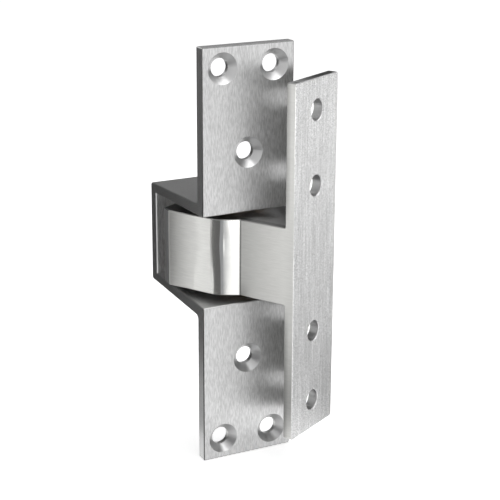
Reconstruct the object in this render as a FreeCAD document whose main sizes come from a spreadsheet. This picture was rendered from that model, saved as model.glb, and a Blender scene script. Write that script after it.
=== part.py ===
import FreeCAD, Part
import math
import os
import Sketcher

# Offset pivot hinge for a door that swings clear of its opening, in millimetres.
# The frame leaf carries a pocket, let into the frame, with a pivot pin through its two webs.
# The pocket is drafted as cast, with flat seats cut round the pin inside and outside its webs.
# The door leaf's heavy arm turns on that pin, so that the axis lies behind the frame leaf's face.
# X runs across the frame leaf, +Y goes into the frame and +Z is up.
# The origin is the middle of the frame leaf's corner screws, on the leaf's mounting face.

SIZES = [
    # Frame leaf
    ("frame_height", 152.4, "frame leaf from end to end"),
    ("frame_width", 35.5, "frame leaf from side to side"),
    ("frame_thickness", 4.5, "upper and lower plates"),
    ("pocket_height", 33.7, "clear opening between the webs at the pocket's mouth"),
    ("pocket_depth", 44.8, "front face to the outside of the back wall"),
    ("web_thickness", 4.1, "pocket's mouth to the outside of the webs at the plates"),
    ("web_fall_outside", 2.0, "draft of each web's outside, from the plates to the back wall"),
    ("web_fall_inside", 1.3, "draft of each web's inside, from the mouth to the back wall"),
    ("back_thickness", 4.5, "back wall of the pocket"),
    ("back_round", 1.0, "outer corners at the back of the pocket"),
    ("root_round", 1.6, "inner corners where plates and webs meet"),
    ("mouth_round", 0.6, "plate edges along the pocket's mouth"),
    ("edge_break", 0.3, "broken outer edges of both leaves and the arm"),
    # Flat seats round the pin, cut into the drafted webs
    ("seat_height", 33.0, "between the seats inside the pocket"),
    ("seat_diameter", 22.0, "seats inside the pocket"),
    ("seat_web", 3.1, "web between its two seats"),
    ("head_seat_diameter", 16.5, "seats outside the pocket"),
    # Screw holes of the frame leaf
    ("frame_screw_across", 19.8, "between the two screws at each end"),
    ("frame_screw_end", 7.6, "end screws to the end of the frame leaf"),
    ("frame_screw_lead", 21.6, "single screws to the edge of the pocket"),
    ("frame_screw_hole", 6.5, "clearance hole for the screw"),
    ("frame_screw_sink", 11.2, "countersink at the face"),
    ("sink_angle", 82.0, "countersinks, side to side"),
    # Place of the pivot axis and of the door leaf about it
    ("pivot_inset", 10.1, "open right side of the frame leaf to the axis"),
    ("pivot_behind", 22.1, "front face of the frame leaf to the axis"),
    ("door_gap", 10.7, "between the leaves' faces with the door shut"),
    ("opening_angle", 28.8, "door leaf turned open from shut"),
    # Door leaf
    ("door_height", 130.6, "door leaf from end to end"),
    ("door_width", 27.5, "door leaf from side to side"),
    ("door_thickness", 3.8, "door leaf plate"),
    ("door_near_edge", 19.8, "axis to the door leaf's hinge edge"),
    ("door_corner_round", 1.0, "corners of the door leaf"),
    ("door_screw_end", 11.2, "outer holes to the end of the door leaf"),
    ("door_screw_pitch", 27.0, "outer holes to the inner ones"),
    ("door_screw_hole", 7.6, "plain clearance hole for the screw"),
    # Arm between the door leaf and the axis
    ("arm_inset", 2.5, "far side of the door leaf to the arm's flank"),
    ("arm_reach", 24.7, "axis to the arm's outer flank"),
    ("arm_corner", 6.9, "axis to where the arm's flank and its slanted front would meet"),
    ("arm_round", 8.5, "between the arm's flank and its slanted front"),
    ("crease_along", 14.1, "axis to the crease between the slanted front and the hinge edge"),
    ("arm_neck", 20.0, "axis to the start of the arm's taper"),
    ("heel_clearance", 0.6, "heel to the pocket's back wall with the door shut"),
    ("heel_inner_end", 8.0, "axis to the heel's inner corner"),
    ("heel_cut_across", 2.2, "bevel at the heel's outer corner, across"),
    ("heel_cut_along", 3.5, "bevel at the heel's outer corner, along"),
    ("side_clearance", 0.2, "hub to the open side of the pocket"),
    ("arm_root_round", 0.6, "between the arm and the door leaf's face"),
    # Bearing
    ("pin_diameter", 9.5, "pivot pin shank"),
    ("running_clearance", 0.05, "all round the pin in its bushes and webs"),
    ("bush_diameter", 12.7, "bushes and the bore that they are pressed into"),
    ("bush_length", 12.0, "bush below its flange"),
    ("flange_diameter", 19.0, "bush flanges and thrust washers"),
    ("flange_thickness", 1.5, "bush flange"),
    ("washer_thickness", 0.75, "thrust washer"),
    ("end_play", 0.05, "between each flange and its thrust washer"),
    ("bore_chamfer", 0.5, "chamfers at the ends of the bushes' bores"),
    # Pivot pin and the ring that keeps it in
    ("head_diameter", 15.0, "pin head"),
    ("head_thickness", 2.4, "pin head"),
    ("head_chamfer", 0.5, "rim of the pin head"),
    ("pin_tail", 3.2, "pin below the lower web"),
    ("tail_chamfer", 0.8, "lower end of the pin"),
    ("groove_diameter", 7.4, "ring groove at its bottom"),
    ("groove_width", 1.1, "ring groove from top to bottom"),
    ("groove_lead", 0.1, "lower web to the ring groove"),
    ("ring_thickness", 1.0, "retaining ring"),
    ("ring_diameter", 14.0, "retaining ring outside"),
    ("ring_mouth", 6.4, "open side of the retaining ring"),
]

ACROSS = FreeCAD.Vector(1, 0, 0)
THROUGH = FreeCAD.Vector(0, 1, 0)
# How nearly an edge has to lie at a level, or run along an axis, to be picked
CLOSE = 0.01
# The size that each way of dressing an edge is driven by
DRESSING_SIZE = {"Fillet": "Radius", "Chamfer": "Size"}
# The points of an edge and the origin, by the numbers that a sketch has for them
START, END, CENTRE = 1, 2, 3
ORIGIN = (-1, 1)
# Degrees that a turned piece's profile is revolved
FULL_TURN = 360


class Size:
    """A length together with the sheet formula that gives it, kept together through sums."""

    def __init__(self, value, formula):
        self.value = float(value)
        self.formula = formula

    def __add__(self, other):
        other = as_size(other)
        return Size(self.value + other.value, "(%s + %s)" % (self.formula, other.formula))

    def __sub__(self, other):
        other = as_size(other)
        return Size(self.value - other.value, "(%s - %s)" % (self.formula, other.formula))

    def __mul__(self, other):
        other = as_size(other)
        return Size(self.value * other.value, "(%s * %s)" % (self.formula, other.formula))

    def __truediv__(self, other):
        other = as_size(other)
        return Size(self.value / other.value, "(%s / %s)" % (self.formula, other.formula))

    def __neg__(self):
        return Size(-self.value, "(0 - %s)" % self.formula)


def as_size(number):
    """A plain number as a size; a size stays as it is."""
    if isinstance(number, Size):
        return number
    return Size(number, repr(float(number)))


def root(size):
    """Square root of a size."""
    return Size(math.sqrt(size.value), "sqrt(%s)" % size.formula)


def fill_sheet(doc):
    """Puts every driving dimension in the sheet and returns them by name."""
    sheet = doc.addObject("Spreadsheet::Sheet", "dims")
    sizes = {}
    for row, (name, value, note) in enumerate(SIZES, start=1):
        sheet.set("A%d" % row, name)
        sheet.set("B%d" % row, str(value))
        sheet.set("C%d" % row, note)
        sheet.setAlias("B%d" % row, name)
        sizes[name] = Size(value, "dims.%s" % name)
    doc.recompute()
    return sizes


def new_body(doc, name):
    """A body for one piece; its label is the piece's name."""
    body = doc.addObject("PartDesign::Body", name)
    body.Label = name
    return body


def new_sketch(body, name, plane, offset=None):
    """A sketch on one of the body's own origin planes, moved along the plane's normal."""
    sketch = body.newObject("Sketcher::SketchObject", name)
    features = body.Origin.OriginFeatures
    support = [feature for feature in features if feature.Role == plane][0]
    sketch.AttachmentSupport = [(support, "")]
    sketch.MapMode = "FlatFace"
    if offset is not None:
        sketch.setExpression("AttachmentOffset.Base.z", offset.formula)
    return sketch


def hold(sketch, kind, *places, size):
    """Adds one dimension to the sketch and ties it to its formula."""
    index = sketch.addConstraint(Sketcher.Constraint(kind, *places, size.value))
    sketch.setExpression("Constraints[%d]" % index, size.formula)


def place_point(sketch, edge, end, x=None, y=None):
    """Places one end of an edge by its distances from the sketch's origin."""
    if x is not None:
        hold(sketch, "DistanceX", *ORIGIN, edge, end, size=x)
    if y is not None:
        hold(sketch, "DistanceY", *ORIGIN, edge, end, size=y)


def point(x, y):
    """A point in a sketch's plane."""
    return FreeCAD.Vector(as_size(x).value, as_size(y).value, 0)


def add_line(sketch, start, end):
    """A straight edge between two points."""
    return sketch.addGeometry(Part.LineSegment(start, end), False)


def add_arc(sketch, radius, start, end):
    """An arc about the sketch's origin, anticlockwise from one point to another."""
    circle = Part.Circle(FreeCAD.Vector(0, 0, 0), FreeCAD.Vector(0, 0, 1), radius.value)
    first = math.atan2(start.y, start.x)
    last = math.atan2(end.y, end.x)
    if last < first:
        last += 2 * math.pi
    edge = sketch.addGeometry(Part.ArcOfCircle(circle, first, last), False)
    sketch.addConstraint(Sketcher.Constraint("Coincident", edge, CENTRE, *ORIGIN))
    hold(sketch, "Radius", edge, size=radius)
    return edge


def join(sketch, first, second, smooth=False):
    """Joins the end of one edge to the start of the next, smoothly where they are tangent."""
    kind = "Tangent" if smooth else "Coincident"
    sketch.addConstraint(Sketcher.Constraint(kind, first, END, second, START))


def draw_polygon(sketch, corners):
    """A closed outline of straight edges, each corner placed by its two sizes."""
    count = len(corners)
    edges = []
    for index, corner in enumerate(corners):
        following = corners[(index + 1) % count]
        edges.append(add_line(sketch, point(*corner), point(*following)))
    for index, corner in enumerate(corners):
        join(sketch, edges[index], edges[(index + 1) % count])
        place_point(sketch, edges[index], START, x=as_size(corner[0]), y=as_size(corner[1]))


def draw_circle(sketch, diameter, x=0.0, y=0.0):
    """A circle placed by its centre."""
    x, y = as_size(x), as_size(y)
    centre = point(x, y)
    circle = Part.Circle(centre, FreeCAD.Vector(0, 0, 1), diameter.value / 2)
    edge = sketch.addGeometry(circle, False)
    hold(sketch, "Diameter", edge, size=diameter)
    place_point(sketch, edge, CENTRE, x=x, y=y)


def pad_both_ways(body, name, sketch, length):
    """Pads a sketch by half the length to each side of its plane."""
    pad = body.newObject("PartDesign::Pad", name)
    pad.Profile = sketch
    pad.SideType = "Symmetric"
    pad.setExpression("Length", length.formula)
    return pad


def cut_through(body, name, sketch):
    """Cuts a sketch through everything, both ways."""
    pocket = body.newObject("PartDesign::Pocket", name)
    pocket.Profile = sketch
    pocket.Type = "ThroughAll"
    pocket.SideType = "Symmetric"
    return pocket


def cut_both_ways(body, name, sketch, length):
    """Cuts a sketch by half the length to each side of its plane."""
    pocket = body.newObject("PartDesign::Pocket", name)
    pocket.Profile = sketch
    pocket.SideType = "Symmetric"
    pocket.setExpression("Length", length.formula)


def cut_outwards(body, name, sketch, upside):
    """Cuts all that lies beyond a sketch, upwards or downwards."""
    pocket = body.newObject("PartDesign::Pocket", name)
    pocket.Profile = sketch
    pocket.Type = "ThroughAll"
    pocket.Reversed = upside > 0


def sink_holes(body, name, sketch, hole, sink, angle):
    """Countersunk clearance holes at a sketch's circles."""
    body.Document.recompute()
    holes = body.newObject("PartDesign::Hole", name)
    holes.Profile = sketch
    holes.DepthType = "ThroughAll"
    holes.HoleCutType = "Countersink"
    holes.HoleCutCustomValues = True
    holes.setExpression("Diameter", hole.formula)
    holes.setExpression("HoleCutDiameter", sink.formula)
    holes.setExpression("HoleCutCountersinkAngle", angle.formula + " * 1deg")


def dress_edges(body, name, kind, base, chosen, size):
    """Rounds or bevels the chosen edges of a feature."""
    body.Document.recompute()
    names = []
    for index, edge in enumerate(base.Shape.Edges, start=1):
        if chosen(edge):
            names.append("Edge%d" % index)
    if not names:
        raise RuntimeError("no edge to dress for " + name)
    dressing = body.newObject("PartDesign::" + kind, name)
    dressing.Base = (base, names)
    dressing.setExpression(DRESSING_SIZE[kind], size.formula)
    return dressing


def straight_along(edge, axis):
    """Whether an edge is a straight one along the given axis."""
    if not isinstance(edge.Curve, Part.Line):
        return False
    return edge.Curve.Direction.cross(axis).Length < CLOSE


def lies_at(edge, axis, *levels):
    """Whether the whole edge lies at one of the levels along an axis."""
    low = getattr(edge.BoundBox, axis + "Min")
    high = getattr(edge.BoundBox, axis + "Max")
    return any(max(abs(low - level.value), abs(high - level.value)) < CLOSE for level in levels)


def corners_across(depth, height):
    """Picks the two edges that run across a leaf at a depth, above and below its middle."""
    def picks(edge):
        return (straight_along(edge, ACROSS)
                and lies_at(edge, "Y", depth)
                and lies_at(edge, "Z", height, -height))
    return picks


def place_at(body, x=None, y=None, z=None, turn=None):
    """Places a body by sizes, turned about the upright axis."""
    if x is not None:
        body.setExpression("Placement.Base.x", x.formula)
    if y is not None:
        body.setExpression("Placement.Base.y", y.formula)
    if z is not None:
        body.setExpression("Placement.Base.z", z.formula)
    if turn is not None:
        body.Placement.Rotation = FreeCAD.Rotation(FreeCAD.Vector(0, 0, 1), turn.value)
        body.setExpression("Placement.Rotation.Angle", turn.formula + " * 1deg")


def turned(body, name, profile):
    """A turned piece: a profile of radius and height, revolved about the upright axis."""
    sketch = new_sketch(body, name + "_profile", "XZ_Plane")
    draw_polygon(sketch, profile)
    revolution = body.newObject("PartDesign::Revolution", name)
    revolution.Profile = sketch
    revolution.ReferenceAxis = (sketch, ["V_Axis"])
    revolution.Angle = FULL_TURN


def frame_leaf(doc, d):
    """Frame leaf: two plates in line, joined by a drafted pocket that is open at its sides."""
    body = new_body(doc, "frame_leaf")
    front = -d["frame_thickness"]
    back = front + d["pocket_depth"]
    top = d["frame_height"] / 2
    mouth = d["pocket_height"] / 2
    inmost = mouth - d["web_fall_inside"]
    web = mouth + d["web_thickness"]
    web_end = web - d["web_fall_outside"]
    outline = new_sketch(body, "leaf_section", "YZ_Plane")
    draw_polygon(outline, [
        (front, top),
        (0.0, top),
        (0.0, web),
        (back, web_end),
        (back, -web_end),
        (0.0, -web),
        (0.0, -top),
        (front, -top),
        (front, -mouth),
        (back - d["back_thickness"], -inmost),
        (back - d["back_thickness"], inmost),
        (front, mouth),
    ])
    leaf = pad_both_ways(body, "leaf_and_pocket", outline, d["frame_width"])
    for name, depth, height, size in (
            ("back_corners", back, web_end, "back_round"),
            ("root_corners", as_size(0), web, "root_round"),
            ("mouth_edges", front, mouth, "mouth_round")):
        leaf = dress_edges(body, name, "Fillet", leaf, corners_across(depth, height), d[size])
    side = d["frame_width"] / 2

    def outer_edge(edge):
        return lies_at(edge, "X", side, -side) or lies_at(edge, "Z", top, -top)

    dress_edges(body, "broken_edges", "Chamfer", leaf, outer_edge, d["edge_break"])

    screws = new_sketch(body, "frame_screws", "XZ_Plane", offset=d["frame_thickness"])
    right = d["frame_screw_across"] / 2
    end = top - d["frame_screw_end"]
    inner = mouth + d["frame_screw_lead"]
    for x, z in ((right, end), (-right, end), (0.0, inner)):
        draw_circle(screws, d["frame_screw_hole"], x, z)
        draw_circle(screws, d["frame_screw_hole"], x, -z)
    sink_holes(body, "frame_screw_holes", screws, d["frame_screw_hole"], d["frame_screw_sink"],
               d["sink_angle"])

    inside = new_sketch(body, "inner_seat_circle", "XY_Plane")
    draw_circle(inside, d["seat_diameter"], *pivot_place(d))
    cut_both_ways(body, "inner_seats", inside, d["seat_height"])
    for web_name, upside in (("upper", 1), ("lower", -1)):
        outside = new_sketch(body, web_name + "_head_circle", "XY_Plane",
                             offset=outer_seat(d) * upside)
        draw_circle(outside, d["head_seat_diameter"], *pivot_place(d))
        cut_outwards(body, web_name + "_seat", outside, upside)
    bore = new_sketch(body, "pin_bore_circle", "XY_Plane")
    draw_circle(bore, d["pin_diameter"] + d["running_clearance"] * 2, *pivot_place(d))
    cut_through(body, "pin_bores", bore)
    return body


def outer_seat(d):
    """Height of the flat seats outside the webs, under the pin's head and over its ring."""
    return d["seat_height"] / 2 + d["seat_web"]


def pivot_place(d):
    """Where the pivot axis crosses the plan of the frame leaf."""
    return (
        d["frame_width"] / 2 - d["pivot_inset"],
        d["pivot_behind"] - d["frame_thickness"],
    )


def door_leaf(doc, d):
    """Door leaf with its arm, one casting, drawn about the pivot axis with the door shut."""
    body = new_body(doc, "door_leaf")
    edge = -d["door_near_edge"]
    face = -(d["pivot_behind"] + d["door_gap"])
    rear = face - d["door_thickness"]
    far = edge + d["door_width"]

    outline = new_sketch(body, "leaf_plan", "XY_Plane")
    draw_polygon(outline, [(edge, rear), (far, rear), (far, face), (edge, face)])
    leaf = pad_both_ways(body, "leaf_plate", outline, d["door_height"])
    dress_edges(body, "leaf_corners", "Fillet", leaf, lambda found: straight_along(found, THROUGH),
                d["door_corner_round"])

    plan = new_sketch(body, "arm_plan", "XY_Plane")
    draw_arm(plan, d, edge, far, rear)
    arm = pad_both_ways(body, "arm", plan, arm_height(d))
    half = arm_height(d) / 2
    arm = dress_edges(body, "arm_front", "Fillet", arm, front_corner(d), d["arm_round"])
    dress_edges(body, "arm_roots", "Fillet", arm, corners_across(face, half), d["arm_root_round"])

    screws = new_sketch(body, "door_screws", "XZ_Plane")
    middle = edge + d["door_width"] / 2
    top = d["door_height"] / 2
    outer = top - d["door_screw_end"]
    for z in (outer, outer - d["door_screw_pitch"]):
        draw_circle(screws, d["door_screw_hole"], middle, z)
        draw_circle(screws, d["door_screw_hole"], middle, -z)
    holes = cut_through(body, "door_screw_holes", screws)

    crease = -d["crease_along"]
    root_end = face + d["arm_root_round"]
    flank = far - d["arm_inset"]

    def outer_edge(found):
        plate = (lies_at(found, "Y", rear) or lies_at(found, "X", edge, far)
                 or lies_at(found, "Z", top, -top))
        arm_front = lies_at(found, "Z", half, -half) and found.CenterOfMass.x < flank.value - CLOSE
        return (plate or arm_front) and not lies_at(found, "Y", crease, root_end)

    dress_edges(body, "broken_edges", "Chamfer", holes, outer_edge, d["edge_break"])

    bore = new_sketch(body, "bush_bore_circle", "XY_Plane")
    draw_circle(bore, d["bush_diameter"])
    cut_through(body, "bush_bore", bore)
    place_on_axis(body, d, turn=d["opening_angle"])
    return body


def draw_arm(sketch, d, edge, far, rear):
    """Plan of the arm: hinge edge, slanted front, flank, bevelled heel, small hub and far side."""
    side = far - d["arm_inset"]
    neck = -d["arm_neck"]
    crease = -d["crease_along"]
    heel = heel_place(d)
    heel_side = -d["arm_reach"]
    corner = -d["arm_corner"]
    heel_cut = heel_side + d["heel_cut_across"]
    heel_flat = heel - d["heel_cut_along"]
    heel_end = -d["heel_inner_end"]
    hub = hub_radius(d)
    lower_touch = touching_point(hub, side, neck, 1)
    upper_touch = touching_point(hub, heel_end, heel, -1)

    foot = add_line(sketch, point(edge, rear), point(side, rear))
    flank = add_line(sketch, point(side, rear), point(side, neck))
    taper = add_line(sketch, point(side, neck), lower_touch)
    hub_arc = add_arc(sketch, hub, lower_touch, upper_touch)
    back_taper = add_line(sketch, upper_touch, point(heel_end, heel))
    heel_back = add_line(sketch, point(heel_end, heel), point(heel_cut, heel))
    bevel = add_line(sketch, point(heel_cut, heel), point(heel_side, heel_flat))
    heel_flank = add_line(sketch, point(heel_side, heel_flat), point(heel_side, corner))
    front = add_line(sketch, point(heel_side, corner), point(edge, crease))
    hinge_edge = add_line(sketch, point(edge, crease), point(edge, rear))

    join(sketch, foot, flank)
    join(sketch, flank, taper)
    join(sketch, taper, hub_arc, smooth=True)
    join(sketch, hub_arc, back_taper, smooth=True)
    join(sketch, back_taper, heel_back)
    join(sketch, heel_back, bevel)
    join(sketch, bevel, heel_flank)
    join(sketch, heel_flank, front)
    join(sketch, front, hinge_edge)
    join(sketch, hinge_edge, foot)

    place_point(sketch, foot, START, x=edge, y=rear)
    place_point(sketch, flank, START, x=side, y=rear)
    place_point(sketch, taper, START, x=side, y=neck)
    place_point(sketch, heel_back, START, x=heel_end, y=heel)
    place_point(sketch, bevel, START, x=heel_cut, y=heel)
    place_point(sketch, heel_flank, START, x=heel_side, y=heel_flat)
    place_point(sketch, front, START, x=heel_side, y=corner)
    place_point(sketch, hinge_edge, START, x=edge, y=crease)


def front_corner(d):
    """Picks the upright edge between the arm's flank and its slanted front."""
    def picks(edge):
        return lies_at(edge, "X", -d["arm_reach"]) and lies_at(edge, "Y", -d["arm_corner"])
    return picks


def touching_point(radius, x, y, turn):
    """Where a line from (x, y) touches a circle about the origin, on the side that turn picks."""
    distance = math.hypot(x.value, y.value)
    direction = math.atan2(y.value, x.value) + turn * math.acos(radius.value / distance)
    return point(radius.value * math.cos(direction), radius.value * math.sin(direction))


def arm_height(d):
    """The arm, with the flanges and washers above and below it, fills the space between seats."""
    return d["seat_height"] - (d["flange_thickness"] + d["washer_thickness"] + d["end_play"]) * 2


def hub_radius(d):
    """The hub stays just inside the open side of the pocket."""
    return d["pivot_inset"] - d["side_clearance"]


def heel_place(d):
    """The heel comes up to the pocket's back wall when the door is shut."""
    inside = d["pocket_depth"] - d["back_thickness"] - d["pivot_behind"]
    return inside - d["heel_clearance"]


def place_on_axis(body, d, z=None, turn=None):
    """Sets a piece that was drawn about the pivot axis in its place."""
    x, y = pivot_place(d)
    place_at(body, x=x, y=y, z=z, turn=turn)


def bush(doc, d, name, upside):
    """Flanged bush, pressed into the arm with its flange outside."""
    body = new_body(doc, name)
    inner = d["pin_diameter"] / 2 + d["running_clearance"]
    outer = d["bush_diameter"] / 2
    rim = d["flange_diameter"] / 2
    top = d["flange_thickness"] * upside
    low = -d["bush_length"] * upside
    cut = d["bore_chamfer"]
    turned(body, name + "_turned", [
        (inner + cut, low),
        (outer, low),
        (outer, 0.0),
        (rim, 0.0),
        (rim, top),
        (inner + cut, top),
        (inner, top - cut * upside),
        (inner, low + cut * upside),
    ])
    place_on_axis(body, d, z=arm_height(d) / 2 * upside)
    return body


def thrust_washer(doc, d, name, upside):
    """Thrust washer between a bush's flange and the web."""
    body = new_body(doc, name)
    inner = d["pin_diameter"] / 2 + d["running_clearance"]
    rim = d["flange_diameter"] / 2
    low = -d["washer_thickness"] * upside
    turned(body, name + "_turned", [(inner, low), (rim, low), (rim, 0.0), (inner, 0.0)])
    place_on_axis(body, d, z=d["seat_height"] / 2 * upside)
    return body


def pivot_pin(doc, d):
    """Headed pivot pin, dropped through the upper web, the arm and the lower web."""
    body = new_body(doc, "pivot_pin")
    shank = d["pin_diameter"] / 2
    head = d["head_diameter"] / 2
    waist = d["groove_diameter"] / 2
    seat = outer_seat(d)
    crown = seat + d["head_thickness"]
    groove_top = -(seat + d["groove_lead"])
    groove_low = groove_top - d["groove_width"]
    tail = -(seat + d["pin_tail"])
    turned(body, "pin_turned", [
        (0.0, tail),
        (shank - d["tail_chamfer"], tail),
        (shank, tail + d["tail_chamfer"]),
        (shank, groove_low),
        (waist, groove_low),
        (waist, groove_top),
        (shank, groove_top),
        (shank, seat),
        (head, seat),
        (head, crown - d["head_chamfer"]),
        (head - d["head_chamfer"], crown),
        (0.0, crown),
    ])
    place_on_axis(body, d)
    return body


def retaining_ring(doc, d):
    """Open retaining ring in the groove under the lower web."""
    body = new_body(doc, "retaining_ring")
    inner = d["groove_diameter"] / 2 + d["running_clearance"]
    outer = d["ring_diameter"] / 2
    gap = d["ring_mouth"] / 2
    inner_corner = -root(inner * inner - gap * gap)
    outer_corner = -root(outer * outer - gap * gap)
    sketch = new_sketch(body, "ring_plan", "XY_Plane")
    rim = add_arc(sketch, outer, point(gap, outer_corner), point(-gap, outer_corner))
    left = add_line(sketch, point(-gap, outer_corner), point(-gap, inner_corner))
    hole = add_arc(sketch, inner, point(gap, inner_corner), point(-gap, inner_corner))
    right = add_line(sketch, point(gap, inner_corner), point(gap, outer_corner))
    join(sketch, rim, left)
    sketch.addConstraint(Sketcher.Constraint("Coincident", left, END, hole, END))
    sketch.addConstraint(Sketcher.Constraint("Coincident", hole, START, right, START))
    join(sketch, right, rim)
    sketch.addConstraint(Sketcher.Constraint("Vertical", left))
    sketch.addConstraint(Sketcher.Constraint("Vertical", right))
    place_point(sketch, left, START, x=-gap)
    place_point(sketch, right, START, x=gap)
    pad_both_ways(body, "ring", sketch, d["ring_thickness"])
    place_on_axis(body, d, z=-(outer_seat(d) + d["groove_lead"] + d["groove_width"] / 2))
    return body


def check_document(doc, bodies):
    """Stops where a feature failed or a piece isn't one sound solid."""
    for item in doc.Objects:
        if "Invalid" in item.State or "Error" in item.State:
            raise RuntimeError("failed: %s %s" % (item.Name, item.State))
    for body in bodies:
        shape = body.Shape
        if shape.isNull() or not shape.isValid() or len(shape.Solids) != 1:
            raise RuntimeError("unsound piece: " + body.Label)


def main():
    doc = FreeCAD.newDocument("offset_pivot_hinge")
    d = fill_sheet(doc)
    bodies = [
        frame_leaf(doc, d),
        door_leaf(doc, d),
        bush(doc, d, "upper_bush", 1),
        bush(doc, d, "lower_bush", -1),
        thrust_washer(doc, d, "upper_thrust_washer", 1),
        thrust_washer(doc, d, "lower_thrust_washer", -1),
        pivot_pin(doc, d),
        retaining_ring(doc, d),
    ]
    doc.recompute()
    check_document(doc, bodies)
    os.makedirs("parts", exist_ok=True)
    for body in bodies:
        body.Shape.exportStep("parts/%s.step" % body.Label)


main()
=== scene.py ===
import math

import bpy
from mathutils import Matrix, Vector


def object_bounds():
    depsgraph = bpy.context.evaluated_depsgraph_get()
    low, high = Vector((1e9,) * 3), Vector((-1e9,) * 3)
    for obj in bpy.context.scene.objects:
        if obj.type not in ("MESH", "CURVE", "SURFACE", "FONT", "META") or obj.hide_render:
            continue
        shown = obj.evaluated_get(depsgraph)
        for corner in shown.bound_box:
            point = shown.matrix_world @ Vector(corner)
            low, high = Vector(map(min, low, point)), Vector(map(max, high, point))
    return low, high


# Looks of an offset pivot hinge in stainless steel: the finishes of its two leaves and of its
# bearing, and the stage that it stands on. Lengths are in metres, in the frame of the CAD model,
# where nothing says millimetres.

bl_info = {
    "name": "Offset Pivot Hinge",
    "version": (1, 0, 0),
    "blender": (4, 5, 0),
    "location": "View3D > Sidebar > Hinge",
    "description": "Finishes an offset pivot hinge and sets up its stage",
    "category": "Object",
}

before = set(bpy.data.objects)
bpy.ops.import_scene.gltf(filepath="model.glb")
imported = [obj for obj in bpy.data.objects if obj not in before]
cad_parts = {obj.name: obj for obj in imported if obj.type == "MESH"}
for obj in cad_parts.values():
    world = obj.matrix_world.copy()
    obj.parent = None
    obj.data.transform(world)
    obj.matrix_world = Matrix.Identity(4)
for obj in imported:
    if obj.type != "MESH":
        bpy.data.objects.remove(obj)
CAD_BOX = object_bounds()
MM = 0.001

# The photograph's width and height in pixels, and the width of the camera's sensor in millimetres
PICTURE = 500
SENSOR = 36.0
# The photograph's camera, fitted to the hinge's edges in it: its place in millimetres, the degrees
# by which it looks to the right of +Y, looks down and is rolled, and its focal length in pixels
CAMERA_PLACE = (-227.25, -445.86, 162.39)
CAMERA_AIM = (27.326, 17.841, 0.237)
FOCAL_LENGTH = 1465.5

# Degrees by which the door leaf is turned open in the photograph, and by which the slanted front
# and the heel's bevel turn from the arm's flank
DOOR_OPEN = 28.8
SLANT = 34.2
HEEL_BEVEL = 32.2
# Where the door leaf's hinge edge and its free edge lie, along the leaf's own level direction
LEAF_EDGES = (-4.62 * MM, 22.88 * MM)
# The upright line where the arm's slanted front meets its tongue, and how far from that line
# its painted shade is worked out, in millimetres
CREASE = (-2.91, -4.29, 0.0)
CREASE_REACH = 20.0
# Stretches along the arm, each from and to so many millimetres past the crease: the tongue and
# the rounded side of the hinge edge, which both get painted shade, the heel's edge with its
# painted highlight, and the corner that the belt has eased
TONGUE = (0.0, 20.0)
ROUNDED_SIDE = (18.7, 22.5)
HEEL_HIGHLIGHT = (-28.2, -27.4)
EASED_CORNER = (-17.0, -4.5)
# Heights over the middle between which the arm gives way to the bare hinge edge, in millimetres
ARM_END = (15.0, 24.0)
# Depths on the door leaf in millimetres: of the blasted pits, of the belt's lines, of the waves of
# hand polishing, and of what the belt has taken off the arm's corner
PIT_DEPTH = 0.03
LINE_DEPTH = 0.0015
WAVE_DEPTH = 0.09
CORNER_DEPTH = 0.96

# The way that the frame leaf's plates face
FRONT = (0.0, -1.0, 0.0)
# Half the width, depth and height of the frame leaf within its broken edges, in millimetres
PLATE_FACE = (17.45, 60.0, 75.9)
# The rounded edges where the pocket's back wall ends at its open sides, in millimetres: how far
# out they begin, between which depths they lie, and half their height
WALL_END = 17.1
WALL_DEPTHS = (30.0, 36.6)
WALL_HEIGHT = 18.0
# Half a size that is larger than the hinge in every direction, in millimetres
ANYWHERE = 99.0

# Distances between which a card would fade that is meant to be whole
NO_FADE = (9.0, 10.0)
# How far a card that lies on the floor is raised from it
CARD_LIFT = 2 * MM


# Colours and nodes

def linear(code):
    """An sRGB hex colour as the linear colour that a shader takes."""
    channels = [int(code[start:start + 2], 16) / 255 for start in (1, 3, 5)]
    return tuple(c / 12.92 if c <= 0.04045 else ((c + 0.055) / 1.055) ** 2.4 for c in channels)


def shade(colour, factor):
    """The same hue, darker or lighter."""
    return tuple(min(channel * factor, 1.0) for channel in colour)


def add(tree, kind, feeds=None, stops=(), **settings):
    """Adds a node. Settings are its properties, and feeds its sockets by name or number, each
    linked to another node's socket or set to a value. Stops are a colour ramp's: each is a place
    and a grey level or a colour."""
    node = tree.nodes.new(kind)
    for name, value in settings.items():
        setattr(node, name, value)
    for name, feed in (feeds or {}).items():
        if isinstance(feed, bpy.types.NodeSocket):
            tree.links.new(feed, node.inputs[name])
        else:
            node.inputs[name].default_value = feed
    if stops:
        elements = node.color_ramp.elements
        while len(elements) < len(stops):
            elements.new(0.5)
        for element, (place, level) in zip(elements, stops):
            element.position = place
            colour = (level,) * 3 if isinstance(level, float) else level
            element.color = (*colour, 1.0)
    return node


def new_material(name):
    """An empty node material and its tree."""
    material = bpy.data.materials.new(name)
    material.use_nodes = True
    material.node_tree.nodes.clear()
    return material, material.node_tree


def grain(tree, size, detail=3.0, roughness=0.6):
    """Noise in object space. Its size is how wide, deep and tall a grain is, in millimetres."""
    place = add(tree, "ShaderNodeTexCoord").outputs["Object"]
    scale = [1 / (length * MM) for length in size]
    stretched = add(tree, "ShaderNodeMapping", {"Vector": place, "Scale": scale})
    noise = add(tree, "ShaderNodeTexNoise", {
        "Vector": stretched.outputs["Vector"], "Scale": 1.0, "Detail": detail,
        "Roughness": roughness})
    return noise.outputs["Fac"]


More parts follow.
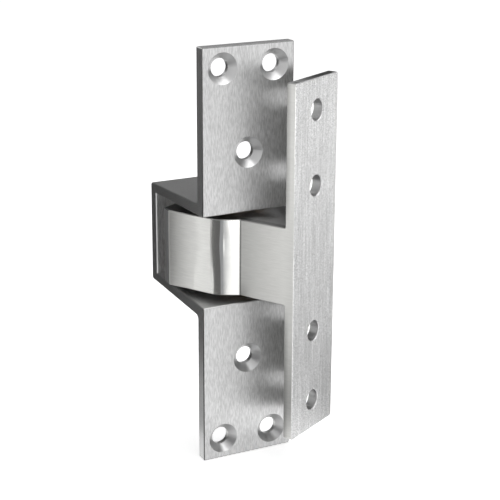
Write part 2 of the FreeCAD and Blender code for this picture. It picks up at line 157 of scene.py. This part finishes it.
def surface(tree, pattern, colour, tones, gloss=None):
    """The colour and the roughness of one finish, spread by a pattern. Both have stops: a level of
    the pattern, and there a share of the colour or a roughness."""
    shades = [(level, shade(colour, share)) for level, share in tones]
    tone = add(tree, "ShaderNodeValToRGB", {"Fac": pattern}, stops=shades)
    if gloss is None:
        return tone.outputs["Color"], None
    rough = add(tree, "ShaderNodeValToRGB", {"Fac": pattern}, stops=gloss)
    return tone.outputs["Color"], rough.outputs["Color"]


def layered(tree, finish, layers):
    """A finish's colour and roughness with other finishes over it, each where its mask is 1. One
    that has no roughness keeps the roughness of what it covers."""
    tone, gloss = finish
    for mask, (colour, rough) in layers:
        over = add(tree, "ShaderNodeMix", {0: mask, 6: tone, 7: colour}, data_type="RGBA")
        tone = over.outputs[2]
        if rough is not None:
            over = add(tree, "ShaderNodeMix", {0: mask, 2: gloss, 3: rough}, data_type="FLOAT")
            gloss = over.outputs[0]
    return tone, gloss


def darkened(tree, tone, *patterns):
    """A colour darkened by patterns, each of them 1 where it leaves the colour as it is."""
    for pattern in patterns:
        darker = add(tree, "ShaderNodeMix", {0: 1.0, 6: tone, 7: pattern},
                     data_type="RGBA", blend_type="MULTIPLY")
        tone = darker.outputs[2]
    return tone


def finish_metal(tree, tone, gloss, height, depth, stretch=None, turn=0.0):
    """Closes a metal's tree with its colour, its roughness and a bump so many millimetres deep. A
    highlight is drawn out by the stretch: level round the piece, or upright after a quarter turn."""
    bump = add(tree, "ShaderNodeBump",
               {"Height": height, "Strength": 1.0, "Distance": depth * MM})
    tangent = add(tree, "ShaderNodeTangent", direction_type="RADIAL", axis="Z")
    feeds = {"Base Color": tone, "Roughness": gloss, "Normal": bump.outputs["Normal"],
             "Tangent": tangent.outputs["Tangent"], "Metallic": 1.0, "Anisotropic Rotation": turn}
    if stretch is not None:
        feeds["Anisotropic"] = stretch
    shader = add(tree, "ShaderNodeBsdfPrincipled", feeds)
    add(tree, "ShaderNodeOutputMaterial", {"Surface": shader.outputs["BSDF"]})


# Sizes and colours that a user would change

def colour_property(name, description, code):
    """A colour that a user can change, with a hex colour as its default."""
    return bpy.props.FloatVectorProperty(
        name=name, description=description, subtype="COLOR", size=3, min=0.0, max=1.0,
        default=linear(code))


# Real brushed lines and blasted pits are finer than a tenth of a millimetre, which the render can't
# show, so both are drawn as coarse as they need to be.
class HingeSteel(bpy.types.PropertyGroup):
    brushed: colour_property(
        "Brushed steel", "Colour of the frame leaf's stainless steel", "#D3D3D3")
    belted: colour_property(
        "Belted steel", "Colour of the arm and of the door leaf's hinge edge", "#D5D5D2")
    blasted: colour_property(
        "Blasted steel", "Colour of the door leaf's mounting face", "#D2D2D2")
    grain_width: bpy.props.FloatProperty(
        name="Grain width", description="Width of one brushed line", unit="LENGTH",
        default=0.34 * MM, min=0.05 * MM, max=2 * MM, precision=5)
    grit: bpy.props.FloatProperty(
        name="Blasting grit", description="Size of the pits on the door leaf's mounting face",
        unit="LENGTH", default=0.30 * MM, min=0.05 * MM, max=2 * MM, precision=5)


class HingeBearing(bpy.types.PropertyGroup):
    bronze: colour_property("Bronze", "Colour of the bushes", "#A8814F")
    ground: colour_property("Ground steel", "Colour of the pin and the washers", "#C4C4C6")
    spring: colour_property("Spring steel", "Colour of the retaining ring", "#77777A")


class HingeStage(bpy.types.PropertyGroup):
    floor: colour_property("Floor", "Colour of the floor", "#F4F4F4")
    floor_width: bpy.props.FloatProperty(
        name="Floor width", description="Side of the square floor", unit="LENGTH",
        default=8.0, min=1.0)
    floor_lift: bpy.props.FloatProperty(
        name="Floor lift", description="Whiteness added to the floor for the eye alone",
        subtype="FACTOR", default=0.65, min=0.0, max=1.0)


# Masks that say where on a leaf a finish lies

def facing(tree, direction, stops, either_way=False, margin=None):
    """A mask by how nearly a surface faces a direction of its piece: 0 edge on and 1 straight on,
    or straight away where either way counts. The stops are levels of that and the mask there. A
    pattern added to it makes the mask's margin ragged."""
    normal = add(tree, "ShaderNodeTexCoord").outputs["Normal"]
    nearly = add(tree, "ShaderNodeVectorMath", {0: normal, 1: direction},
                 operation="DOT_PRODUCT").outputs["Value"]
    if either_way:
        nearly = add(tree, "ShaderNodeMath", {0: nearly}, operation="ABSOLUTE").outputs[0]
    if margin is not None:
        nearly = add(tree, "ShaderNodeMath", {0: nearly, 1: margin}, operation="ADD").outputs[0]
    return add(tree, "ShaderNodeValToRGB", {"Fac": nearly}, stops=stops).outputs["Color"]


def outside(tree, box):
    """1 beyond a box round the origin, whose three half sizes are in millimetres, and 0 in it."""
    place = add(tree, "ShaderNodeTexCoord").outputs["Object"]
    size = add(tree, "ShaderNodeVectorMath", {0: place}, operation="ABSOLUTE")
    axes = add(tree, "ShaderNodeSeparateXYZ", {"Vector": size.outputs["Vector"]})
    mask = 0.0
    for axis, half in zip("XYZ", box):
        past = add(tree, "ShaderNodeMath", {0: axes.outputs[axis], 1: half * MM},
                   operation="GREATER_THAN")
        mask = add(tree, "ShaderNodeMath", {0: mask, 1: past.outputs[0]},
                   operation="MAXIMUM").outputs[0]
    return mask


def inside(tree, box):
    """1 within such a box, and 0 beyond it."""
    beyond = outside(tree, box)
    return add(tree, "ShaderNodeMath", {0: 1.0, 1: beyond}, operation="SUBTRACT").outputs[0]


def where_all(tree, *masks):
    """1 where every mask is 1."""
    shared = masks[0]
    for mask in masks[1:]:
        shared = add(tree, "ShaderNodeMath", {0: shared, 1: mask}, operation="MULTIPLY").outputs[0]
    return shared


def door_direction(turn):
    """A level direction on the door leaf: degrees from the way that its free edge points. Its
    mounting face looks -90 degrees from there, and the arm's flank 180."""
    angle = math.radians(turn + DOOR_OPEN)
    return (math.cos(angle), math.sin(angle), 0.0)


def from_crease(tree):
    """Level distance from the arm's crease, as a share of its reach."""
    place = add(tree, "ShaderNodeTexCoord").outputs["Object"]
    level = add(tree, "ShaderNodeMapping", {"Vector": place, "Scale": (1 / MM, 1 / MM, 0.0)})
    gap = add(tree, "ShaderNodeVectorMath", {0: level.outputs["Vector"], 1: CREASE},
              operation="DISTANCE")
    share = add(tree, "ShaderNodeMapRange",
                {"Value": gap.outputs["Value"], "From Max": CREASE_REACH})
    return share.outputs["Result"]


def along_arm(tree, stretch):
    """How far a place is along a stretch of the arm, from the heel towards the mounting face."""
    place = add(tree, "ShaderNodeTexCoord").outputs["Object"]
    onward = Vector(door_direction(-90.0))
    along = add(tree, "ShaderNodeVectorMath", {0: place, 1: onward}, operation="DOT_PRODUCT")
    start, end = [(Vector(CREASE).dot(onward) + past) * MM for past in stretch]
    share = add(tree, "ShaderNodeMapRange",
                {"Value": along.outputs["Value"], "From Min": start, "From Max": end})
    return share.outputs["Result"]


def beyond_arm(tree):
    """0 at the arm's height and 1 past it, up and down, with a soft change between."""
    place = add(tree, "ShaderNodeTexCoord").outputs["Object"]
    size = add(tree, "ShaderNodeVectorMath", {0: place}, operation="ABSOLUTE")
    axes = add(tree, "ShaderNodeSeparateXYZ", {"Vector": size.outputs["Vector"]})
    share = add(tree, "ShaderNodeMapRange", {
        "Value": axes.outputs["Z"], "From Min": ARM_END[0] * MM, "From Max": ARM_END[1] * MM})
    return share.outputs["Result"]


def from_hinge_edge(tree, stops):
    """A mask by the distance from the door leaf's hinge edge towards its free edge. The stops are
    shares of the leaf's width and the mask there."""
    place = add(tree, "ShaderNodeTexCoord").outputs["Object"]
    along = add(tree, "ShaderNodeVectorMath", {0: place, 1: door_direction(0.0)},
                operation="DOT_PRODUCT")
    share = add(tree, "ShaderNodeMapRange", {
        "Value": along.outputs["Value"], "From Min": LEAF_EDGES[0], "From Max": LEAF_EDGES[1]})
    mask = add(tree, "ShaderNodeValToRGB", {"Fac": share.outputs["Result"]}, stops=stops)
    return mask.outputs["Color"]


# Finishes of the leaves

def brushed_stainless(steel):
    """Cast stainless steel, ground flat and brushed lengthwise on the plates' faces: short upright
    lines that spread a highlight sideways, with faint clouds. The rest is left as cast and
    pickled: greyer, with a fine mottle. The broken edges are painted dark, a painted shade where
    their highlight would show, but a painted highlight keeps them light where the pocket's back
    wall is rounded at its ends. The countersinks are cut smooth and bright, and coloured a little
    darker than the faces: painted shade in these hollows."""
    material, tree = new_material("brushed_stainless_steel")
    width = steel.grain_width / MM
    grit = steel.grit / MM
    lines = grain(tree, (width, width, width * 7), detail=2.0, roughness=0.7)
    clouds = grain(tree, (6.25, 6.25, 25.0), detail=2.0)
    pits = grain(tree, (grit, grit, grit), detail=2.0, roughness=0.7)

    pickled = surface(tree, pits, steel.brushed, ((0.35, 0.84), (0.65, 1.05)),
                      ((0.35, 0.38), (0.65, 0.46)))
    # The countersinks' colour is a little darker than the faces': painted shade in these hollows
    drilled = surface(tree, clouds, steel.brushed, ((0.3, 0.74), (0.7, 0.80)),
                      ((0.3, 0.33), (0.7, 0.37)))
    tone, ground_gloss = surface(tree, lines, steel.brushed, ((0.37, 0.72), (0.63, 1.0)),
                                 ((0.30, 0.34), (0.70, 0.42)))
    cloudy = add(tree, "ShaderNodeValToRGB", {"Fac": clouds}, stops=((0.30, 0.94), (0.70, 1.0)))
    ground = darkened(tree, tone, cloudy.outputs["Color"]), ground_gloss
    # The broken edges painted dark: painted shade where their highlight would show
    edge = surface(tree, pits, steel.brushed, ((0.35, 0.12), (0.65, 0.20)))
    # Where the back wall is rounded at its ends, a painted highlight: its edges keep a light colour
    edge_highlight = surface(tree, pits, steel.brushed, ((0.3, 0.9), (0.7, 1.0)))

    flat = facing(tree, FRONT, ((0.85, 0.0), (0.93, 1.0)))
    cut = facing(tree, FRONT, ((0.35, 0.0), (0.50, 1.0)))
    slanted = facing(tree, FRONT, ((0.10, 0.0), (0.20, 1.0), (0.90, 1.0), (0.97, 0.0)))
    broken = where_all(tree, slanted, outside(tree, PLATE_FACE))
    wall_edge = where_all(
        tree, outside(tree, (WALL_END, ANYWHERE, ANYWHERE)),
        inside(tree, (ANYWHERE, WALL_DEPTHS[1], WALL_HEIGHT)),
        outside(tree, (ANYWHERE, WALL_DEPTHS[0], ANYWHERE)),
        facing(tree, (1.0, 0.0, 0.0), ((0.10, 1.0), (0.80, 1.0), (0.97, 0.0)), either_way=True))
    tone, gloss = layered(tree, pickled, [(cut, drilled), (flat, ground), (broken, edge),
                                          (wall_edge, edge_highlight)])
    height = add(tree, "ShaderNodeMix", {0: flat, 2: pits, 3: lines}, data_type="FLOAT")
    stretch = add(tree, "ShaderNodeMapRange", {"Value": flat, "To Max": 0.75})
    finish_metal(tree, tone, gloss, height.outputs[0], 0.02, stretch.outputs["Result"])
    return material


def cast_height(tree, lines, pits, polished, blasted):
    """Bumps of the door leaf, in depths of a blasted pit: fine lines where it is belted, the soft
    waves of hand polishing on the slanted front, pits where it is blasted, and a fall where the
    belt has eased the arm's corner, which sways a little as the hand does."""
    fine = add(tree, "ShaderNodeMapRange", {"Value": lines, "To Max": LINE_DEPTH / PIT_DEPTH})
    waves = add(tree, "ShaderNodeMapRange", {
        "Value": grain(tree, (12.5, 12.5, 22.2), detail=0.0),
        "To Min": -WAVE_DEPTH / PIT_DEPTH, "To Max": WAVE_DEPTH / PIT_DEPTH})
    height = add(tree, "ShaderNodeMix", {0: polished, 2: fine.outputs["Result"],
                                         3: waves.outputs["Result"]}, data_type="FLOAT")
    height = add(tree, "ShaderNodeMix", {0: blasted, 2: height.outputs[0], 3: pits},
                 data_type="FLOAT")
    sway = add(tree, "ShaderNodeMapRange", {
        "Value": grain(tree, (40.0, 40.0, 16.7), detail=0.0), "To Min": -0.3, "To Max": 0.3})
    corner = add(tree, "ShaderNodeMath", {0: along_arm(tree, EASED_CORNER),
                                          1: sway.outputs["Result"]}, operation="ADD")
    fall = add(tree, "ShaderNodeMapRange",
               {"Value": corner.outputs[0], "To Max": -CORNER_DEPTH / PIT_DEPTH},
               interpolation_type="SMOOTHERSTEP")
    height = add(tree, "ShaderNodeMath", {0: height.outputs[0], 1: fall.outputs["Result"]},
                 operation="ADD")
    return height.outputs[0]


def cast_stainless(steel):
    """Investment-cast stainless steel. The arm and the hinge edge are belted, so lines run round
    the arm and spread a highlight up and down. The arm's rounded corner and slanted front are
    polished by hand, and a little lighter in colour: partly a painted highlight. A thin painted
    shade darkens the crease, painted shade darkens the tongue beside it, and past the arm painted
    shade darkens the hinge edge where its side is rounded. The wide mounting face is grit blasted:
    dull, with close pits, faint upright streaks and a ragged margin. The heel's bevel is blasted
    too and matt, and painted pale: painted light where it faces the dark pocket, beside a painted
    highlight along the heel's edge. The upward faces are duller and painted darker, and the holes'
    walls are drilled smoother and painted darker: painted shade on the tops and in the holes."""
    material, tree = new_material("cast_stainless_steel")
    width = steel.grain_width / MM
    grit = steel.grit / MM
    lines = grain(tree, (width * 14, width * 14, width))
    pits = grain(tree, (grit, grit, grit), detail=2.0, roughness=0.7)
    streaks = grain(tree, (0.714, 0.714, 20.0))

    # Painted shade on the tongue: darkest just past the crease, lighter towards the mounting face
    tongue = add(tree, "ShaderNodeValToRGB", {"Fac": along_arm(tree, TONGUE)},
                 stops=((0.0, 1.0), (0.04, 0.56), (0.90, 0.90)))
    # Painted shade on the hinge edge past the arm, where its side is rounded
    rounded = add(tree, "ShaderNodeValToRGB", {"Fac": along_arm(tree, ROUNDED_SIDE)},
                  stops=((0.0, 0.50), (0.55, 0.95), (1.0, 1.0)))
    # The two painted shades: the tongue's at the arm's height, the rounded side's above and below it
    painted_shade = add(tree, "ShaderNodeMix", {
        0: beyond_arm(tree), 6: tongue.outputs["Color"], 7: rounded.outputs["Color"]},
        data_type="RGBA")
    # A thin painted shade along the crease
    crease = add(tree, "ShaderNodeValToRGB", {"Fac": from_crease(tree)},
                 stops=((0.010, 0.20), (0.030, 1.0)))
    streaked = add(tree, "ShaderNodeValToRGB", {"Fac": streaks}, stops=((0.35, 0.78), (0.65, 1.0)))

    tone, belted_gloss = surface(tree, lines, steel.belted, ((0.30, 0.88), (0.70, 1.0)),
                                 ((0.30, 0.31), (0.70, 0.28)))
    # The belted colour carries the painted shade of the tongue and of the hinge edge's rounded side
    belted = darkened(tree, tone, painted_shade.outputs[2]), belted_gloss
    # Polished: smoother, and a little lighter in colour, partly a painted highlight
    bright = surface(tree, lines, steel.belted, ((0.3, 0.97), (0.7, 1.05)),
                     ((0.30, 0.10), (0.70, 0.13)))
    tone, grainy_gloss = surface(tree, pits, steel.blasted, ((0.40, 0.70), (0.60, 1.32)),
                                 ((0.30, 0.50), (0.70, 0.60)))
    grainy = darkened(tree, tone, streaked.outputs["Color"]), grainy_gloss
    # The upward faces painted dark: painted shade, with a duller gloss
    rough = surface(tree, pits, steel.blasted, ((0.35, 0.36), (0.65, 0.48)),
                    ((0.30, 0.34), (0.70, 0.42)))
    # The holes' walls painted darker than the face: painted shade in the holes
    drilled = surface(tree, pits, steel.blasted, ((0.3, 0.60), (0.7, 0.75)))
    # The heel's bevel painted pale: painted light where it faces the dark pocket, and matt
    pale = surface(tree, pits, steel.blasted, ((0.3, 1.35), (0.7, 1.55)),
                   ((0.30, 0.65), (0.70, 0.75)))
    # A painted highlight along the heel's edge
    edge_highlight = surface(tree, lines, steel.belted, ((0.3, 1.4), (0.7, 1.5)))

    mounting = door_direction(-90.0)
    blasted = where_all(tree, facing(tree, mounting, ((0.90, 0.0), (1.00, 1.0)), margin=pits),
                        from_hinge_edge(tree, ((0.0, 0.0), (0.003, 1.0))))
    polished = facing(tree, door_direction(180.0 + SLANT), ((0.86, 0.0), (0.97, 1.0)))
    upward = facing(tree, (0.0, 0.0, 1.0), ((0.60, 0.0), (0.90, 1.0)))
    sunk = where_all(tree, from_hinge_edge(tree, ((0.10, 0.0), (0.12, 1.0))),
                     facing(tree, mounting, ((0.40, 1.0), (0.60, 0.0)), either_way=True))
    level = add(tree, "ShaderNodeMath", {0: upward, 1: sunk}, operation="MAXIMUM").outputs[0]
    bevel = facing(tree, door_direction(180.0 - HEEL_BEVEL), ((0.95, 0.0), (0.99, 1.0)))
    # Where the painted highlight runs along the heel's edge
    heel = add(tree, "ShaderNodeValToRGB", {"Fac": along_arm(tree, HEEL_HIGHLIGHT)},
               stops=((0.0, 1.0), (0.9, 0.0)))
    flank = facing(tree, door_direction(180.0), ((0.97, 0.0), (0.99, 1.0)))
    edge = where_all(tree, flank, heel.outputs["Color"])

    tone, gloss = layered(tree, belted, [(polished, bright)])
    tone = darkened(tree, tone, crease.outputs["Color"])
    tone, gloss = layered(tree, (tone, gloss), [(blasted, grainy), (level, rough), (sunk, drilled),
                                                (bevel, pale), (edge, edge_highlight)])
    stretch = add(tree, "ShaderNodeMapRange", {"Value": blasted, "To Min": 0.75, "To Max": 0.0})
    finish_metal(tree, tone, gloss, cast_height(tree, lines, pits, polished, blasted), PIT_DEPTH,
                 stretch.outputs["Result"], turn=0.25)
    return material


# Finishes of the bearing, with their rings and pores drawn as coarse as they need to be to show

def ground_steel(bearing):
    """Centreless-ground steel: smooth, with fine rings round the axis."""
    material, tree = new_material("ground_steel")
    rings = grain(tree, (16.7, 16.7, 0.2))
    tone, gloss = surface(tree, rings, bearing.ground, ((0.3, 0.85), (0.7, 1.0)),
                          ((0.3, 0.22), (0.7, 0.32)))
    finish_metal(tree, tone, gloss, rings, 0.01)
    return material


def spring_steel(bearing):
    """Oiled spring steel of the ring: dark, with a dull gloss."""
    material, tree = new_material("oiled_spring_steel")
    cloud = grain(tree, (1.11, 1.11, 1.11))
    tone, gloss = surface(tree, cloud, bearing.spring, ((0.3, 0.75), (0.7, 1.0)),
                          ((0.3, 0.35), (0.7, 0.5)))
    finish_metal(tree, tone, gloss, cloud, 0.01)
    return material


def sintered_bronze(bearing):
    """Sintered bronze, soaked in oil: warm, with open pores."""
    material, tree = new_material("sintered_bronze")
    pores = grain(tree, (0.25, 0.25, 0.25))
    tone, gloss = surface(tree, pores, bearing.bronze, ((0.35, 0.65), (0.65, 1.0)),
                          ((0.3, 0.38), (0.7, 0.5)))
    finish_metal(tree, tone, gloss, pores, 0.02)
    return material


# Finishes of the stage

def backdrop_ray(tree, lit, seen):
    """One strength for light that falls on things, and another for what the eye sees as the
    backdrop, straight on or by way of metal or glass."""
    path = add(tree, "ShaderNodeLightPath").outputs
    straight = add(tree, "ShaderNodeMath", {0: path["Is Camera Ray"], 1: path["Is Glossy Ray"]},
                   operation="MAXIMUM")
    either = add(tree, "ShaderNodeMath", {0: straight.outputs[0], 1: path["Is Transmission Ray"]},
                 operation="MAXIMUM")
    strength = add(tree, "ShaderNodeMapRange",
                   {"Value": either.outputs[0], "To Min": lit, "To Max": seen})
    return strength.outputs["Result"]


def painted_floor(stage):
    """Matt painted board: pale and even, with a faint mottle. It is lifted to white for the eye,
    all but the hinge's shadow."""
    material, tree = new_material("matt_painted_floor")
    mottle = grain(tree, (33.3, 33.3, 33.3))
    paint, _ = surface(tree, mottle, stage.floor, ((0.3, 0.98), (0.7, 1.0)))
    board = add(tree, "ShaderNodeBsdfPrincipled", {"Base Color": paint, "Roughness": 0.9})
    lift = add(tree, "ShaderNodeEmission",
               {"Color": paint, "Strength": backdrop_ray(tree, 0.0, stage.floor_lift)})
    lifted = add(tree, "ShaderNodeAddShader",
                 {0: board.outputs["BSDF"], 1: lift.outputs["Emission"]})
    add(tree, "ShaderNodeOutputMaterial", {"Surface": lifted.outputs["Shader"]})
    return material


def matt_card(name, code, fade):
    """Matt card that takes the shine off the metal facing it, with a faint mottle. It thins out
    to nothing between two distances from the hinge's centre, so that its far edge isn't seen."""
    material, tree = new_material("matt_card_" + name)
    mottle = grain(tree, (5.0, 5.0, 5.0))
    tone, _ = surface(tree, mottle, linear(code), ((0.3, 0.95), (0.7, 1.0)))
    place = add(tree, "ShaderNodeTexCoord").outputs["Object"]
    away = add(tree, "ShaderNodeVectorMath", {0: place}, operation="LENGTH")
    solid = add(tree, "ShaderNodeMapRange", {
        "Value": away.outputs["Value"], "From Min": fade[0], "From Max": fade[1],
        "To Min": 1.0, "To Max": 0.0})
    shader = add(tree, "ShaderNodeBsdfPrincipled",
                 {"Base Color": tone, "Alpha": solid.outputs["Result"], "Roughness": 0.9})
    add(tree, "ShaderNodeOutputMaterial", {"Surface": shader.outputs["BSDF"]})
    return material


def dress(node, material):
    """Gives a CAD node its finish."""
    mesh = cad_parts[node].data
    mesh.materials.clear()
    mesh.materials.append(material)


# Pieces of the stage

def staged(name, corners, faces, material):
    """A flat-faced piece of the stage."""
    mesh = bpy.data.meshes.new(name)
    mesh.from_pydata(corners, [], faces)
    mesh.materials.append(material)
    piece = bpy.data.objects.new(name, mesh)
    bpy.context.scene.collection.objects.link(piece)
    return piece


def floor_board(stage):
    """A flat square floor under the hinge's lower end."""
    half = stage.floor_width / 2
    level = CAD_BOX[0].z
    corners = [(-half, -half, level), (half, -half, level), (half, half, level),
               (-half, half, level)]
    staged("floor", corners, [(0, 1, 2, 3)], painted_floor(stage))


def flag(name, code, start, end, inner, outer, fade=NO_FADE):
    """A card bent round the hinge between two bearings in degrees, clockwise from +Y as seen from
    above, and between two rings, each a radius and a height. It shows in reflections alone, as
    a card outside the picture would."""
    steps = 12
    corners = []
    for step in range(steps + 1):
        bearing = math.radians(start + (end - start) * step / steps)
        for radius, height in (inner, outer):
            corners.append((radius * math.sin(bearing), radius * math.cos(bearing), height))
    faces = [(2 * step, 2 * step + 2, 2 * step + 3, 2 * step + 1) for step in range(steps)]
    card = staged(name, corners, faces, matt_card(name, code, fade))
    card.visible_camera = False
    card.visible_shadow = False
    card.visible_diffuse = False


def softbox(name, place, aim, width, height, power):
    """A rectangular area lamp turned towards a point."""
    data = bpy.data.lights.new(name, "AREA")
    data.shape = "RECTANGLE"
    data.size = width
    data.size_y = height
    data.energy = power
    lamp = bpy.data.objects.new(name, data)
    turn = (Vector(aim) - Vector(place)).to_track_quat("-Z", "Y").to_matrix().to_4x4()
    lamp.matrix_world = Matrix.Translation(place) @ turn
    lamp.visible_camera = False
    bpy.context.scene.collection.objects.link(lamp)


def camera(place, azimuth, elevation, roll, focal):
    """The photograph's camera: its place, its direction in degrees and its focal length in
    pixels."""
    az, el, turn = (math.radians(angle) for angle in (azimuth, elevation, roll))
    ahead = Vector((math.sin(az) * math.cos(el), math.cos(az) * math.cos(el), -math.sin(el)))
    level = Vector((math.cos(az), -math.sin(az), 0.0))
    upward = level.cross(ahead)
    right = level * math.cos(turn) + upward * math.sin(turn)
    above = upward * math.cos(turn) - level * math.sin(turn)
    data = bpy.data.cameras.new("camera")
    data.sensor_width = SENSOR
    data.lens = focal * SENSOR / PICTURE
    data.clip_start = 0.01
    data.clip_end = 20.0
    viewer = bpy.data.objects.new("camera", data)
    axes = Matrix((right, above, -ahead)).transposed().to_4x4()
    viewer.matrix_world = Matrix.Translation(place) @ axes
    bpy.context.scene.collection.objects.link(viewer)
    bpy.context.scene.camera = viewer


def studio_world():
    """Even light from all round, seen as a white backdrop."""
    world = bpy.data.worlds.new("studio")
    bpy.context.scene.world = world
    world.use_nodes = True
    tree = world.node_tree
    tree.nodes.clear()
    light = add(tree, "ShaderNodeBackground", {"Strength": backdrop_ray(tree, 0.4, 1.0),
                                               "Color": (*linear("#FFFFFF"), 1.0)})
    add(tree, "ShaderNodeOutputWorld", {"Surface": light.outputs["Background"]})


# Operators

class HINGE_OT_leaves(bpy.types.Operator):
    """Finishes the frame leaf and the door leaf"""
    bl_idname = "hinge.leaves"
    bl_label = "Leaves"

    def execute(self, context):
        steel = context.scene.hinge_steel
        dress("frame_leaf", brushed_stainless(steel))
        dress("door_leaf", cast_stainless(steel))
        return {"FINISHED"}


class HINGE_OT_bearing(bpy.types.Operator):
    """Finishes the pin, its ring, the bushes and the thrust washers"""
    bl_idname = "hinge.bearing"
    bl_label = "Bearing"

    def execute(self, context):
        bearing = context.scene.hinge_bearing
        ground = ground_steel(bearing)
        bronze = sintered_bronze(bearing)
        dress("pivot_pin", ground)
        dress("retaining_ring", spring_steel(bearing))
        for side in ("upper", "lower"):
            dress(side + "_bush", bronze)
            dress(side + "_thrust_washer", ground)
        return {"FINISHED"}


class HINGE_OT_stage(bpy.types.Operator):
    """Sets up the floor, the lamps, the world and the photograph's camera"""
    bl_idname = "hinge.stage"
    bl_label = "Stage"

    def execute(self, context):
        scene = context.scene
        floor_board(scene.hinge_stage)
        # Cards that give the steel the photograph's dark and pale bands
        low = CAD_BOX[0].z
        laid = low + CARD_LIFT
        flag("side_flag", "#464646", -74.5, -5.0, (0.09, low), (0.09, 0.10))
        flag("foot_flag", "#E8E8E8", -70.0, -5.0, (0.03, laid), (0.09, laid))
        flag("top_flag", "#464646", -5.0, 85.0, (0.30, 0.02), (0.30, 0.35))
        flag("round_flag", "#828282", -136.0, -105.0, (0.12, low), (0.12, 0.02))
        flag("front_flag", "#C6C8CC", -149.6, -136.0, (0.12, low), (0.12, 0.02))
        flag("left_flag", "#303030", -130.0, -90.0, (0.03, laid), (0.14, laid), (0.085, 0.155))
        flag("right_flag", "#929292", 70.0, 120.0, (0.05, laid), (0.45, laid), (0.12, 0.45))
        softbox("overhead", (0.25, -0.15, 0.75), (0.0, 0.0, 0.0), 0.7, 0.7, 4.0)
        softbox("right", (0.9, -0.5, 0.35), (0.0, 0.0, 0.0), 0.6, 0.6, 1.5)
        softbox("low", (-0.13, -0.25, -0.02), (0.0, 0.0, -0.01), 0.10, 0.10, 0.07)
        studio_world()
        camera(Vector(CAMERA_PLACE) * MM, *CAMERA_AIM, FOCAL_LENGTH)
        scene.view_settings.view_transform = "Standard"
        return {"FINISHED"}


class HINGE_PT_panel(bpy.types.Panel):
    """The hinge's finishes, and a button for each step"""
    bl_label = "Offset Pivot Hinge"
    bl_space_type = "VIEW_3D"
    bl_region_type = "UI"
    bl_category = "Hinge"

    def draw(self, context):
        scene = context.scene
        for group, operator in ((scene.hinge_steel, "hinge.leaves"),
                                (scene.hinge_bearing, "hinge.bearing"),
                                (scene.hinge_stage, "hinge.stage")):
            column = self.layout.column()
            for name in group.__annotations__:
                column.prop(group, name)
            column.operator(operator)


CLASSES = (HingeSteel, HingeBearing, HingeStage, HINGE_OT_leaves, HINGE_OT_bearing,
           HINGE_OT_stage, HINGE_PT_panel)


def register():
    """Adds the hinge's settings, operators and panel to Blender."""
    for item in CLASSES:
        bpy.utils.register_class(item)
    bpy.types.Scene.hinge_steel = bpy.props.PointerProperty(type=HingeSteel)
    bpy.types.Scene.hinge_bearing = bpy.props.PointerProperty(type=HingeBearing)
    bpy.types.Scene.hinge_stage = bpy.props.PointerProperty(type=HingeStage)


def unregister():
    """Takes them out again."""
    del bpy.types.Scene.hinge_stage
    del bpy.types.Scene.hinge_bearing
    del bpy.types.Scene.hinge_steel
    for item in reversed(CLASSES):
        bpy.utils.unregister_class(item)


def main():
    register()
    bpy.ops.hinge.stage()
    bpy.ops.hinge.leaves()
    bpy.ops.hinge.bearing()


if __name__ == "__main__":
    main()
